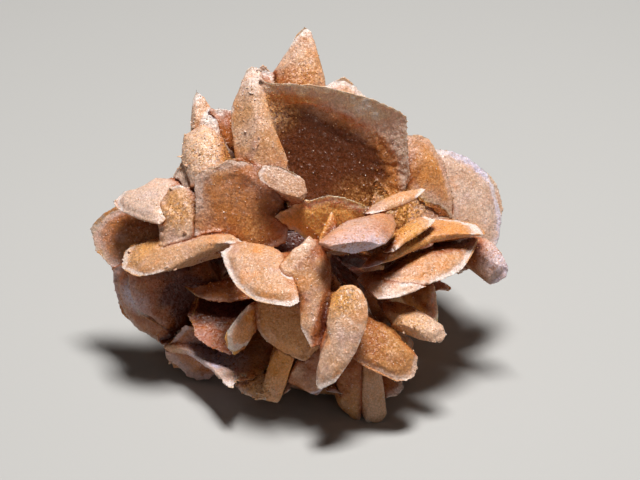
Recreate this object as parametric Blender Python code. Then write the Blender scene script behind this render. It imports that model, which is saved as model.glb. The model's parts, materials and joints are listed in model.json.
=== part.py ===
"""A gypsum sand rose: sixty lens-shaped crystal blades, grown out of one heart.

Every blade is drawn on the rose's face, in millimetres from the heart: x runs to the
right, u up the face and w out of it, towards whoever looks at the rose. The face leans
back, and the lowest blades are worn flat where the rose rests.

A blade that grew later stops where it meets an older one. The older blades come first
in the lists below.
"""

import math
from typing import NamedTuple

import bmesh
import bpy
from mathutils import Matrix, Vector

MM = 0.001
FACE_LEAN = math.radians(30)  # how far the rose's face leans back from upright
HEART_HEIGHT = 33.0  # the heart above the surface that the rose rests on
PARTING = 0.3  # the gap between a blade and the one that it grew against
RIM_RING, CROWN_RING = 0.95, 0.62  # a lens's two inner rings, as shares of its outline
RIM_SWELL, CROWN_SWELL = 0.28, 0.78  # how thick it still is at those rings
SPHERE_RINGS = 6
LENS_RINGS = (  # for a ring this far out on the sphere: its swell and its share
    (0.98, 0.0, 1.0),
    (0.75, RIM_SWELL, RIM_RING),
    (0.25, CROWN_SWELL, CROWN_RING),
    (0.0, 1.0, 0.0),
)
MOST_PUSH = 6.0  # a sharp rim swells by at most this many times as much
ROOT_NECK = 0.3  # how far the back's inner ring is drawn in towards the root
ROOT_REACH = 0.82  # how much of the way to the heart a root goes
LEAST_ROOT = 8.0  # a root lies at least this far behind its blade
FEW_CORNERS = 9  # an outline with fewer corners gets a rounding point between each two
GROUND_SIDE = 300.0

MATERIALS = {
    "gypsum_caramel": ((0.56, 0.28, 0.13), 0.55),
    "gypsum_pale": ((0.80, 0.60, 0.44), 0.60),
    "gypsum_amber": ((0.66, 0.34, 0.09), 0.45),
    "gypsum_sandy": ((0.70, 0.44, 0.22), 0.75),
}


class Blade(NamedTuple):
    """One crystal: where it is on the face, how it is turned, and its own outline."""

    name: str
    material: str
    centre: Vector
    turn: Matrix
    outline: list
    thick: float
    bow: float
    root: Vector | None


def facing(lean, swing):
    """The way that a blade faces: lean is up from the viewer, swing is to the right."""
    lean, swing = math.radians(lean), math.radians(swing)
    return Vector(
        (
            math.sin(swing) * math.cos(lean),
            math.sin(lean),
            math.cos(swing) * math.cos(lean),
        )
    )


def turn_to(normal, along):
    """The rotation whose z is the normal and whose x lies nearest to along."""
    x_axis = (along - normal * along.dot(normal)).normalized()
    y_axis = normal.cross(x_axis)
    return Matrix((x_axis, y_axis, normal)).transposed()


def drawn(name, material, lean, swing, depth, thick, corners, bow=0.0):
    """A blade whose corners are given as they look from in front of the face."""
    normal = facing(lean, swing)
    middle_x = sum(x for x, _ in corners) / len(corners)
    middle_u = sum(u for _, u in corners) / len(corners)
    turn = turn_to(normal, Vector((1, 0, 0)))
    outline = []
    for x, u in corners:
        across, up = x - middle_x, u - middle_u
        out = -(normal.x * across + normal.y * up) / normal.z
        on_plane = turn.transposed() @ Vector((across, up, out))
        outline.append(on_plane.xy)
    centre = Vector((middle_x, middle_u, depth))
    root = centre * -ROOT_REACH
    behind = root.dot(normal)
    if behind > -LEAST_ROOT:
        root -= normal * (behind + LEAST_ROOT)
    root = turn.transposed() @ root
    return Blade(name, material, centre, turn, outline, thick, bow, root)


def petal(name, material, around, back, roll, root, reach, width, thick, bow=0.0):
    """A blade that points away from the heart, from root to reach, seen from behind.

    around turns its tip round the face, from the right, and back tips it rearwards.
    """
    around, back, roll = math.radians(around), math.radians(back), math.radians(roll)
    direction = Vector(
        (
            math.cos(around) * math.cos(back),
            math.sin(around) * math.cos(back),
            -math.sin(back),
        )
    )
    side = direction.cross(Vector((0, 0, 1))).normalized()
    normal = Matrix.Rotation(roll, 3, direction) @ direction.cross(side)
    half_length, half_width = (reach - root) / 2, width / 2
    outline = []
    for step in range(PETAL_CORNERS):
        angle = 2 * math.pi * step / PETAL_CORNERS
        fullness = 1 + PETAL_TAPER * math.cos(angle)
        outline.append(
            Vector(
                (
                    half_length * math.cos(angle),
                    half_width * fullness * math.sin(angle),
                )
            )
        )
    centre = direction * (root + reach) / 2
    turn = turn_to(normal, direction)
    return Blade(name, material, centre, turn, outline, thick, bow, None)


PETAL_CORNERS = 12
PETAL_TAPER = 0.22  # a petal is this much fuller towards its tip than at its root

CARAMEL, PALE, AMBER, SANDY = MATERIALS

FRONT_BLADES = [
    drawn("front_tongue", PALE, 8, -8, 29, 3.6, [
        (5, -10.8), (8, -10.6), (10.2, -12), (11.7, -15), (12, -18), (11.2, -22),
        (9.7, -26), (8.2, -29), (6.5, -32), (4, -34.7), (1, -36.3), (-1.8, -36.3),
        (-1.2, -32), (0.2, -27.5), (1.7, -24), (1.5, -20), (2.3, -16), (2.6, -13)]),
    drawn("spine_blade", PALE, 10, 18, 24, 3.6, [
        (-2.7, 1.5), (-4.8, -1), (-6.7, -2.1), (-8.2, -4.1), (-9.6, -6.4), (-10, -9),
        (-8, -12), (-5, -15), (-5, -22), (-2.5, -26.9), (0, -26), (1.7, -20), (2.7, -13),
        (3.3, -6), (1, -1.5)]),
    drawn("centre_leaf", PALE, 35, -10, 25, 3.0, [
        (-24.8, -2.6), (-22, -1.2), (-17, -0.4), (-11.5, -1.2), (-8, -3.5), (-6.5, -8),
        (-5, -13), (-4.3, -15), (-7, -16.6), (-13, -16.2), (-18, -14.2), (-20.5, -12),
        (-22.8, -8)]),
    drawn("eye_blade", CARAMEL, 54, 8, 23.5, 5.4, [
        (-0.9, -0.9), (1.5, 1.8), (4.2, 3.7), (7, 5), (10, 5.9), (14, 6.2), (18, 5.9),
        (18.8, 3.6), (18, 0.8), (15.5, -1.8), (12.6, -3.4), (8, -3.4), (3, -2.2)]),
    drawn("lip_blade", AMBER, -20, 0, 12, 2.6, [
        (-11.6, 5.6), (-9.8, 7.2), (-6, 9), (-2, 10.3), (2, 11.4), (5, 11), (8, 10.2),
        (11, 8.9), (13.5, 7.4), (12, 0), (6, -5), (-1, -3), (-5, 1), (-9, 3.8)],
        bow=-1.0),
    drawn("mid_upper_leaf", PALE, 12, 6, 16.5, 2.6, [
        (-16.2, 17), (-14.6, 18.6), (-11.5, 19.2), (-8.5, 18.2), (-6, 16.8), (-3.6, 14.6),
        (-2.8, 11.5), (-4, 9), (-8.2, 9.8), (-12, 12.4), (-15.2, 15)]),
    drawn("great_bowl", CARAMEL, -16, -4, 5, 3.4, [
        (-15.5, 39.3), (-8, 39.2), (0, 38.6), (7, 37.3), (14, 35), (20, 32.3),
        (22.2, 30.5), (22.3, 25), (23, 15), (18, 5), (6, 0), (-6, 4), (-13, 16),
        (-16, 28)], bow=-4.5),
    drawn("left_shield", CARAMEL, -8, 4, 12, 3.4, [
        (-31.5, 16.2), (-28, 17.9), (-25, 18.8), (-22.5, 20.3), (-19, 20.7), (-15, 18),
        (-10, 12), (-7, 5), (-8, -1), (-15, -4), (-24, -4), (-31, 0), (-31, 9)],
        bow=-1.2),
    drawn("right_lower_petal", SANDY, 15, 15, 21, 3.2, [
        (9, -16), (13.5, -19.6), (16.2, -20.2), (18.2, -22.2), (20.7, -24.9),
        (22.7, -26.5), (24.2, -28.7), (24.2, -31.4), (23.2, -33.9), (21, -35.2),
        (18.5, -35.2), (15, -33.5), (11, -31.8), (7.5, -28.7), (3, -24), (4, -17)]),
    drawn("brown_petal", CARAMEL, -12, -5, 19, 3.0, [
        (-15.8, -15.5), (-15.5, -20), (-15, -23.9), (-12, -25.8), (-8.5, -27.8),
        (-3, -30.2), (0, -27), (2, -20), (1, -10), (-7, -6), (-13, -9)]),
    drawn("lower_shelf", PALE, 43, 8, 12.6, 3.0, [
        (14.5, -8), (19, -4.6), (26, -2), (33, 0.4), (38, 1.4), (40, 0.4), (38.9, -2.8),
        (36.6, -6), (34.3, -8.2), (30, -10.1), (26, -11.2), (20, -11.4), (15.5, -10)]),
    drawn("upper_shelf", CARAMEL, 54, 2, 13, 3.2, [
        (9, -7), (13, -3), (18, 1.2), (22, 4), (27, 5.8), (33, 6), (39, 4.6), (42, 1),
        (38.5, 1), (33, 0.4), (28, -0.4), (22, -3), (17, -5.4), (12, -7.6)]),
    drawn("right_fan", PALE, 10, 25, -6, 3.2, [
        (27, 23.2), (30, 23.5), (33, 22.9), (37, 21.4), (40, 19.4), (43, 16.8),
        (44.9, 14.2), (45.9, 11), (46.6, 7.5), (46.1, 4), (45.4, 0), (43, -5), (35, -9),
        (25, -6), (21, 2), (22, 14)]),
    drawn("inner_fan", CARAMEL, 0, 8, -0.5, 3.0, [
        (20, 26.8), (25, 26.8), (27.8, 25.6), (29, 23.2), (31.2, 20), (32.6, 15),
        (33.8, 10), (33.6, 4), (28, -3), (18, -4), (12, 6), (14, 20)]),
    drawn("crown_spire", PALE, 5, -6, 1, 4.6, [
        (-4, 53.9), (-2, 52.2), (-0.7, 48), (0.5, 44), (1.4, 40), (2, 30), (0, 18),
        (-6, 16), (-10, 26), (-13, 38), (-12.2, 41.6), (-10, 45), (-8, 47.9),
        (-6.2, 51.4)]),
    drawn("tower_blade", PALE, 8, -10, 8, 4.6, [
        (-22.3, 33), (-20.4, 37), (-18.4, 42.6), (-17, 43.5), (-15, 43), (-14, 40),
        (-12.8, 34), (-11, 27.5), (-7.5, 19.5), (-9, 12), (-17, 10), (-21, 18),
        (-22.1, 27)]),
    drawn("left_inner_blade", PALE, 4, -14, 9.2, 3.0, [
        (-40.2, 3.2), (-39.2, 9), (-37.4, 13.4), (-34.5, 14), (-32, 12.8), (-30, 10),
        (-29.5, 3), (-30, -3), (-36, -3.5), (-39, -4), (-39.8, -1)]),
    drawn("left_shelf", SANDY, 40, -30, 10.5, 3.4, [
        (-46.7, -9.8), (-49.6, -7), (-49.3, -3), (-46, 0), (-42, 0.4), (-38, 1.5),
        (-33, 2.4), (-28, 2.2), (-22, 1.8), (-17, -1), (-23, -1.4), (-28, -2.9),
        (-32, -4.8), (-39, -8.6), (-42, -9.8)]),
    drawn("left_top_sheet", PALE, 35, -25, 4.0, 3.0, [
        (-51.2, 7.5), (-52.2, 9), (-49, 12.3), (-46, 12.6), (-43, 14.1), (-40.8, 15.7),
        (-38, 15.4), (-34.5, 15), (-34, 9), (-39.5, 3.6), (-44, 4.7), (-48, 6.2)]),
    drawn("left_cup", CARAMEL, 4, -18, -3, 3.2, [
        (-58.4, 3), (-57.2, 4.9), (-55, 6.9), (-51, 9.4), (-44, 10), (-36, 6),
        (-34, -2), (-42, -8), (-49, -8.4), (-52.2, -7.4), (-54.9, -5), (-56.9, -2.5),
        (-57.5, 0.5)], bow=-1.6),
    drawn("pocket_petal", CARAMEL, 38, -8, 8, 3.0, [
        (-33.4, -18.6), (-31.8, -21.5), (-31.4, -23.8), (-28, -26.4), (-25, -27.6),
        (-22, -28.8), (-17, -25), (-12, -18), (-14, -11), (-23, -9), (-31, -13)],
        bow=-2.0),
    drawn("amber_blade", AMBER, -15, 35, 20, 2.0, [
        (-17.2, -15.2), (-20, -18.2), (-22.8, -22), (-24.4, -24), (-23, -26.5),
        (-21, -28.8), (-18, -27), (-15.5, -22), (-15, -16.5)]),
    drawn("dark_pocket", CARAMEL, 40, 4, 8.5, 2.8, [
        (-26, -31.5), (-23, -34.4), (-20, -35), (-17, -34.3), (-14, -32.5), (-11.2, -30),
        (-9.6, -28), (-9, -22), (-17, -19), (-25, -24)], bow=-2.0),
    drawn("stalk_blade", AMBER, -12, -15, 14, 3.6, [
        (-13.9, -36.5), (-13.4, -32), (-12.5, -27), (-8, -24), (-5, -28), (-7.8, -34.5),
        (-9, -38), (-11, -40.2), (-13.2, -39.2)]),
    drawn("lower_mid_petal", PALE, -14, -15, 16, 3.2, [
        (-10.4, -32), (-8.4, -34.9), (-5.5, -36.2), (-3, -37.5), (-0.2, -39), (3, -35),
        (3, -27), (-2, -22), (-8, -26)]),
    drawn("sugar_rim", SANDY, 30, -8, 11, 3.4, [
        (-21.6, -35.7), (-18, -34.4), (-13, -33), (-7, -31), (-7, -37), (-10, -39.6),
        (-15, -39.5), (-18, -38.5), (-20.6, -37.1)]),
    drawn("foot_right", PALE, -6, 12, 12.5, 4.0, [
        (10.5, -38), (10.4, -43.7), (11.5, -45.2), (13.8, -45.7), (15.4, -45),
        (16.9, -43), (16.5, -40.5), (15.8, -35), (14, -28), (10, -29)]),
    drawn("foot_left", SANDY, -14, -20, 11.5, 4.0, [
        (3.3, -36), (4.6, -41), (7.2, -43.3), (10, -45.2), (11, -40), (10, -29),
        (4, -28)]),
    drawn("base_shelf", CARAMEL, 40, 12, 9, 3.0, [
        (-1, -32), (7, -27), (15, -29), (20.5, -34), (21.2, -37), (19.5, -38.8),
        (14, -39.2), (6, -38.8), (1, -37.5)]),
    drawn("slim_wing", PALE, 52, 0, 12, 2.6, [
        (10.5, 6.8), (14, 9.6), (18, 11.3), (22, 12.6), (25.5, 13.2), (27, 12.3),
        (24.5, 10.2), (20, 8.2), (16, 6.6), (12, 5.6)]),
    drawn("diagonal_leaf", PALE, 45, 0, 19, 2.8, [
        (8.6, -9.6), (11, -7.6), (14.5, -7), (20, -8), (27, -10.4), (26.5, -11.6),
        (23, -12.8), (20, -13.9), (17.3, -15.5), (14.5, -15), (12.5, -13.5),
        (10.5, -11.6)]),
    drawn("sugar_wedge", SANDY, 30, 10, 17, 4.6, [
        (15, -15), (18.5, -14.9), (21.5, -15.8), (24.5, -17.2), (27.5, -19), (30, -20.6),
        (31.4, -23.3), (30, -25), (28, -25.4), (25, -24.6), (22, -23.7), (19.5, -23.2),
        (17.5, -21), (15.3, -18)]),
    drawn("right_fin", AMBER, 0, -35, 9, 2.4, [
        (27, -9), (28.6, -11.5), (29.2, -16), (29.5, -20.8), (27, -21), (22, -17),
        (18, -10), (22, -6)]),
    drawn("right_knob", PALE, 0, -32, 3, 3.2, [
        (36, 2), (39, 0.9), (41.2, 0.6), (43.4, -0.9), (45.5, -3.6), (47.1, -7),
        (46.5, -9.3), (44, -11), (42.3, -11.4), (40, -9.5), (33, -4), (30, 0)],
        bow=1.2),
    drawn("middle_sliver", SANDY, 50, 0, 16.5, 2.4, [
        (15, -3), (18.5, 1.8), (22, 4.6), (26, 6.2), (29, 5), (25.5, 1.8), (21, -1),
        (18, -3.2)]),
    drawn("heart_thorn", AMBER, 5, 10, 20, 2.2, [
        (2.8, 7.6), (4.2, 4.5), (5.5, 0), (3, -3), (-1, -2), (0.2, 3)]),
    drawn("back_tip", PALE, 10, 18, -4, 3.2, [
        (0, 38.6), (4, 40.6), (6, 41.7), (9, 39.2), (12, 36), (15, 26), (10, 14),
        (0, 14), (-4, 28)]),
    drawn("tower_tip", PALE, 0, 0, 1.5, 3.0, [
        (-15.8, 42.5), (-14.3, 44.4), (-12.5, 42.6), (-10, 39), (-9, 28), (-14, 22),
        (-19, 28), (-18, 38)]),
    drawn("saddle_blade", CARAMEL, 0, 20, -2, 3.2, [
        (-28, 32.4), (-22, 32.9), (-17, 30), (-12, 20), (-15, 10), (-24, 12),
        (-30, 24)]),
    drawn("left_spire", PALE, 5, -12, 0.8, 4.2, [
        (-31.3, 38.1), (-29.8, 37), (-27.6, 33.8), (-25.5, 30), (-22, 20), (-24, 13),
        (-28, 11), (-32, 15), (-32.4, 22), (-32.4, 30), (-32.1, 35)]),
    drawn("left_crag", PALE, 20, -20, 6.5, 5.4, [
        (-34.1, 25.9), (-32, 27.3), (-29, 28.8), (-26, 27.3), (-24, 24), (-23, 18),
        (-27, 12), (-32, 13), (-34.6, 20)]),
    drawn("left_slope", SANDY, 12, -28, 5.0, 4.2, [
        (-37, 15.2), (-35, 18.6), (-33.8, 21), (-29, 19), (-25, 12), (-29, 7),
        (-36, 10)]),
    drawn("shadow_leaf", CARAMEL, 30, -10, 6.5, 2.8, [
        (-35.5, -10.6), (-31, -12.2), (-28.9, -11), (-25, -10.4), (-20, -8), (-13, -4),
        (-9, -9), (-14, -14), (-22, -15.8), (-31, -15)]),
    drawn("left_low_facet", CARAMEL, -18, 20, 1.0, 3.6, [
        (-48.4, -8), (-47.5, -13), (-46.1, -18.9), (-41, -21.6), (-36, -23.2),
        (-28, -21), (-24, -12), (-28, -4), (-40, -3)], bow=-1.5),
    drawn("left_edge_blade", PALE, -26, -28, -3.5, 3.4, [
        (-52.4, -6.8), (-52, -11), (-50.9, -16), (-50, -18.5), (-48.2, -20.3),
        (-46, -22.7), (-43, -24.3), (-40.5, -26.1), (-36, -24), (-33.5, -15), (-38, -6),
        (-46, -4)]),
    drawn("lower_left_wing", PALE, 62, -15, 5, 3.0, [
        (-40.8, -25.6), (-38, -24.0), (-34.5, -23.2), (-29, -25), (-24.4, -28),
        (-20.8, -32.5), (-20.4, -36), (-22.4, -36.4), (-25.8, -33.2), (-30, -30.2),
        (-33.7, -28.2), (-38, -27.5)]),
    drawn("low_cup", CARAMEL, -28, -15, -1, 3.0, [
        (-39.3, -27), (-39.2, -29.6), (-37.2, -32.1), (-34.7, -32.9), (-33, -34.6),
        (-30.5, -35.7), (-27.5, -35.2), (-22, -30), (-22, -22), (-34, -21)], bow=-1.4),
    drawn("right_tip", SANDY, 50, 0, 8, 2.4, [
        (22, -8), (29, -9.4), (33, -11.8), (32.2, -12.8), (28, -12.6), (22, -12.6)]),
]

BASE_BLADE = drawn("base_blade", SANDY, 60, 0, -8, 12.0, [
    (-22, -29), (-14, -22), (0, -19), (14, -21), (24, -26), (22, -34), (12, -38.5),
    (-2, -37), (-16, -34)])

BACK_PETALS = [
    petal("back_crest", CARAMEL, 88, 38, 14, 1, 45, 42, 6.0, bow=-2.0),
    petal("back_left_wing", PALE, 154, 30, 28, 1, 47, 40, 6.0, bow=-2.0),
    petal("back_right_wing", CARAMEL, 22, 34, -30, 1, 44, 40, 6.0, bow=-2.0),
    petal("back_low_left", SANDY, 206, 34, -28, 1, 45, 38, 6.0, bow=-1.5),
    petal("back_low_right", PALE, 332, 36, 22, 1, 40, 32, 6.0, bow=-1.5),
    petal("back_keel", AMBER, 60, 62, 70, 1, 42, 36, 5.0, bow=1.5),
    petal("back_left_fin", PALE, 184, 56, 62, 1, 42, 34, 5.0, bow=1.5),
    petal("back_right_fin", CARAMEL, 352, 58, -60, 1, 40, 32, 5.0, bow=1.5),
    petal("back_heel", SANDY, 262, 52, 24, 1, 38, 36, 5.0),
    petal("back_heart_leaf", PALE, 118, 72, -24, 1, 40, 34, 5.0, bow=1.5),
    petal("back_shoulder", AMBER, 122, 48, -44, 4, 46, 32, 4.6),
]


def smooth_outline(corners):
    """The corners, with a rounding point between each two where they are few."""
    if len(corners) >= FEW_CORNERS:
        return corners
    rounded = []
    count = len(corners)
    for i in range(count):
        before, here = corners[i - 1], corners[i]
        there, after = corners[(i + 1) % count], corners[(i + 2) % count]
        rounded.append(here)
        rounded.append((here + there) * 0.5625 - (before + after) * 0.0625)
    return rounded


def lens_mesh(blade, grow):
    """A blade's mesh: a sphere squashed to a lens and stretched out to its outline.

    The lens's back is drawn in to the blade's root, and grow swells the whole by that much.
    """
    outline = smooth_outline(blade.outline)
    count = len(outline)
    form = bmesh.new()
    bmesh.ops.create_uvsphere(form, u_segments=count, v_segments=SPHERE_RINGS, radius=1)
    for vertex in form.verts:
        across = vertex.co.xy.length
        turn = math.atan2(vertex.co.y, vertex.co.x) / (2 * math.pi)
        corner = outline[round(turn * count) % count]
        swell, share = next((s, r) for least, s, r in LENS_RINGS if across >= least)
        back = vertex.co.z < 0
        height = blade.thick / 2 * (-swell if back else swell)
        height += blade.bow * (1 - share * share)
        spot = Vector((*(corner * share), height))
        if blade.root and back and share == CROWN_RING:
            spot = spot.lerp(blade.root, ROOT_NECK)
        elif blade.root and back and share == 0.0:
            spot = blade.root
        vertex.co = spot * MM
    bmesh.ops.triangulate(form, faces=form.faces, quad_method="FIXED")
    form.normal_update()
    bmesh.ops.recalc_face_normals(form, faces=form.faces)
    form.normal_update()
    pushes = [
        vertex.normal * min(vertex.calc_shell_factor(), MOST_PUSH) for vertex in form.verts
    ]
    for vertex, push in zip(form.verts, pushes):
        vertex.co += push * grow * MM
    mesh = bpy.data.meshes.new(blade.name)
    form.to_mesh(mesh)
    form.free()
    return mesh


def place(blade, heart, collection, suffix="", grow=0.0):
    """A blade as an object, turned and set in its place on the face."""
    made = bpy.data.objects.new(blade.name + suffix, lens_mesh(blade, grow))
    collection.objects.link(made)
    made.parent = heart
    made.location = blade.centre * MM
    made.rotation_euler = blade.turn.to_euler()
    return made


def world_box(made):
    """The lowest and highest corners of an object."""
    points = [made.matrix_world @ vertex.co for vertex in made.data.vertices]
    low = Vector([min(point[i] for point in points) for i in range(3)])
    high = Vector([max(point[i] for point in points) for i in range(3)])
    return low, high


def boxes_meet(first, second):
    return all(
        first[0][i] <= second[1][i] and second[0][i] <= first[1][i] for i in range(3)
    )


def islands(form):
    """The separate bodies of a mesh, each a list of its faces."""
    left, found = set(form.faces), []
    while left:
        queue, body = [left.pop()], []
        while queue:
            face = queue.pop()
            body.append(face)
            for edge in face.edges:
                for neighbour in edge.link_faces:
                    if neighbour in left:
                        left.remove(neighbour)
                        queue.append(neighbour)
        found.append(body)
    return found


def body_volume(faces):
    """Six times the volume that the faces enclose."""
    total = 0.0
    for face in faces:
        first = face.verts[0].co
        for second, third in zip(face.verts[1:-1], face.verts[2:]):
            total += first.dot(second.co.cross(third.co))
    return total


def stop_at(made, older):
    """Cuts the object back from the older ones, and keeps its largest body."""
    for other in older:
        cut = made.modifiers.new(other.name, "BOOLEAN")
        cut.operation = "DIFFERENCE"
        cut.solver = "EXACT"
        cut.object = other
    bpy.context.view_layer.update()
    graph = bpy.context.evaluated_depsgraph_get()
    made.data = bpy.data.meshes.new_from_object(made.evaluated_get(graph))
    made.modifiers.clear()
    form = bmesh.new()
    form.from_mesh(made.data)
    bodies = sorted(islands(form), key=body_volume)
    lost = [face for body in bodies[:-1] for face in body]
    bmesh.ops.delete(form, geom=lost, context="FACES")
    bmesh.ops.remove_doubles(form, verts=form.verts, dist=0.001 * MM)
    form.to_mesh(made.data)
    form.free()


def make_material(name, colour, roughness):
    material = bpy.data.materials.new(name)
    material.use_nodes = True
    shader = material.node_tree.nodes["Principled BSDF"]
    shader.inputs["Base Color"].default_value = (*colour, 1.0)
    shader.inputs["Roughness"].default_value = roughness
    shader.inputs["Metallic"].default_value = 0.0
    return material


def make_ground(collection):
    """The surface that wears the lowest blades flat, as a block under it."""
    bpy.ops.mesh.primitive_cube_add(size=GROUND_SIDE * MM)
    ground = bpy.context.object
    ground.name = "ground"
    ground.location.z = -GROUND_SIDE / 2 * MM
    for other in list(ground.users_collection):
        other.objects.unlink(ground)
    collection.objects.link(ground)
    return ground


def centre_over_base(heart, rose):
    """Moves the rose so that its box stands over the origin."""
    bpy.context.view_layer.update()
    boxes = [world_box(made) for made in rose.objects if made.type == "MESH"]
    for i in range(2):
        low, high = min(box[0][i] for box in boxes), max(box[1][i] for box in boxes)
        heart.location[i] -= (low + high) / 2


def main():
    for leftover in list(bpy.data.objects):
        bpy.data.objects.remove(leftover)
    rose = bpy.data.collections.new("gypsum_sand_rose")
    cutters = bpy.data.collections.new("growth_cutters")
    for collection in (rose, cutters):
        bpy.context.scene.collection.children.link(collection)
    materials = {
        name: make_material(name, colour, roughness)
        for name, (colour, roughness) in MATERIALS.items()
    }
    heart = bpy.data.objects.new("heart", None)
    rose.objects.link(heart)
    heart.location = (0, 0, HEART_HEIGHT * MM)
    heart.rotation_euler = (math.pi / 2 - FACE_LEAN, 0, 0)

    ground = make_ground(cutters)
    older = []
    for blade in [*FRONT_BLADES, BASE_BLADE, *BACK_PETALS]:
        made = place(blade, heart, rose)
        shell = place(blade, heart, cutters, "_shell", PARTING)
        bpy.context.view_layer.update()
        box = world_box(shell)
        met = [pair for pair, other_box in older if boxes_meet(box, other_box)]
        if box[0].z < 0:
            met.insert(0, (ground, ground))
        stop_at(made, [other_shell for _, other_shell in met])
        stop_at(shell, [other_made for other_made, _ in met])
        made.data.materials.clear()
        made.data.materials.append(materials[blade.material])
        made.data.shade_smooth()
        made.data.set_sharp_from_angle(angle=math.radians(40))
        older.append(((made, shell), world_box(shell)))
    for cutter in list(cutters.objects):
        bpy.data.objects.remove(cutter)
    bpy.data.collections.remove(cutters)
    centre_over_base(heart, rose)


main()
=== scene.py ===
"""A gypsum sand rose on a plain stage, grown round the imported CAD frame.

Each CAD blade becomes one crystal with a weathered surface and a ragged rim. Small crystal
buds and loose sand grains sit on them. Lengths are in metres, in the frame's own axes.
"""

import json
import math

import bmesh
import bpy
import numpy as np
from bpy.props import (
    FloatProperty,
    FloatVectorProperty,
    IntProperty,
    PointerProperty,
)
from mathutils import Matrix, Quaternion, Vector
from mathutils.bvhtree import BVHTree

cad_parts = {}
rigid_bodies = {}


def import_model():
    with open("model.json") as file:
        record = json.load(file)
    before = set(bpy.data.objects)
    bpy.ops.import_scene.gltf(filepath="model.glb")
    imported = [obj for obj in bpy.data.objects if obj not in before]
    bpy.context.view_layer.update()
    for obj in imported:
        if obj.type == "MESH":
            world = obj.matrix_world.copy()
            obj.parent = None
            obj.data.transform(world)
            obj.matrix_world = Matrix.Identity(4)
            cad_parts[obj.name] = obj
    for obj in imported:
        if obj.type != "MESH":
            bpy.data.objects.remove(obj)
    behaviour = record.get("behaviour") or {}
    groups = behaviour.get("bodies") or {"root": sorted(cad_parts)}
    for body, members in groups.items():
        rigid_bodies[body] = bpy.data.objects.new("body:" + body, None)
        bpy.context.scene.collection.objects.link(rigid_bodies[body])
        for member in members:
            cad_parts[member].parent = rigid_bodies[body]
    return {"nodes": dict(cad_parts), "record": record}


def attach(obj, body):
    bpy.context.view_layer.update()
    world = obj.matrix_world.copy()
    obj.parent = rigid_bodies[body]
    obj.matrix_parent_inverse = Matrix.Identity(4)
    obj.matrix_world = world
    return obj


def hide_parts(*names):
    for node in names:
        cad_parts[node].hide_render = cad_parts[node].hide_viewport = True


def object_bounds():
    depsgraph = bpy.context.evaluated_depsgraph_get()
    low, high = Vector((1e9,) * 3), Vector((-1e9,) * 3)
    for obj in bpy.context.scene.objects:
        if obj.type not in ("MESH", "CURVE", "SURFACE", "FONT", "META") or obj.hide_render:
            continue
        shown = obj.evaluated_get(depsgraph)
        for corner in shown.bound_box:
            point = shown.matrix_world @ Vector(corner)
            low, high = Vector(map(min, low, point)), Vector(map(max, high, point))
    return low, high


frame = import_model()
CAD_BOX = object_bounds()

bl_info = {
    "name": "Gypsum Sand Rose",
    "version": (1, 0, 0),
    "blender": (4, 5, 0),
    "location": "View3D > Sidebar > Sand Rose",
    "description": "Grows a gypsum sand rose's crystals round its CAD frame",
    "category": "Object",
}

MM = 0.001
SEED = 11
ROOT_BODY = "root"

# The heart, where the blades' roots meet, from the frame's lowest corner. The rose's face
# leans back from upright.
HEART = Vector(CAD_BOX[0]) + Vector((58.4, 44.37, 33.0)) * MM
FRAME_WIDTH = 0.160  # how much of the rose's width and its surroundings the camera takes in
FACE_LEAN = math.radians(30)

# Which record slot each blade takes its finish from.
SLOTS = {part["node"]: part["material_slot"] for part in frame["record"]["subparts"]}

# Blades whose faces are crusted with small crystals, and how thickly.
CRUSTED = {
    "tower_blade": 1.0,
    "tower_tip": 1.0,
    "left_crag": 1.3,
    "left_spire": 0.8,
    "left_slope": 1.0,
    "left_edge_blade": 0.8,
    "left_shelf": 0.5,
    "left_cup": 0.5,
    "sugar_wedge": 1.4,
    "sugar_rim": 1.4,
    "low_cup": 1.0,
    "left_inner_blade": 0.6,
    "mid_upper_leaf": 0.3,
    "right_lower_petal": 0.5,
    "middle_sliver": 0.8,
    "back_shoulder": 0.6,
    "back_heart_leaf": 0.7,
    "back_left_fin": 0.6,
    "back_right_fin": 0.6,
    "back_low_left": 0.5,
    "back_low_right": 0.4,
    "back_heel": 0.6,
}


def face_point(x, u, w):
    """A place on the rose's face, in millimetres right, up and out from the heart."""
    lean_sin, lean_cos = math.sin(FACE_LEAN), math.cos(FACE_LEAN)
    offset = Vector((x, u * lean_sin - w * lean_cos, u * lean_cos + w * lean_sin))
    return HEART + offset * MM


def on_face(places):
    """Places in the frame, as millimetres right, up and out from the heart."""
    away = (places - np.array(HEART)) / MM
    lean_sin, lean_cos = math.sin(FACE_LEAN), math.cos(FACE_LEAN)
    up = away[:, 1] * lean_sin + away[:, 2] * lean_cos
    out = away[:, 2] * lean_sin - away[:, 1] * lean_cos
    return np.column_stack((away[:, 0], up, out))


# Patches of loose ochre sand: where on the face, how wide in millimetres, and how dense.
SAND_PATCHES = (
    ((5.0, -13.5, 30.0), 5.5, 1.0),
    ((4.0, -8.0, 16.0), 5.0, 0.8),
    ((-12.0, 33.0, 4.0), 6.5, 0.7),
    ((9.0, 8.5, 1.0), 6.5, 0.55),
    ((16.0, 9.0, 1.0), 5.5, 0.6),
    ((22.0, 1.0, 14.0), 6.0, 0.9),
    ((22.0, 7.5, 2.0), 5.0, 1.0),
    ((17.0, -25.0, 21.0), 9.0, 0.35),
    ((23.0, -20.0, 18.0), 7.0, 0.6),
    ((-28.0, 22.0, 8.0), 8.0, 0.6),
    ((-35.0, 7.0, 10.0), 5.0, 0.7),
    ((-44.0, -1.0, 6.0), 6.0, 0.7),
    ((-3.0, 41.0, 2.0), 6.0, 0.5),
    ((-15.0, -37.0, 12.0), 7.0, 0.6),
    ((-16.0, 2.0, 14.0), 5.0, 0.5),
)


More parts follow.
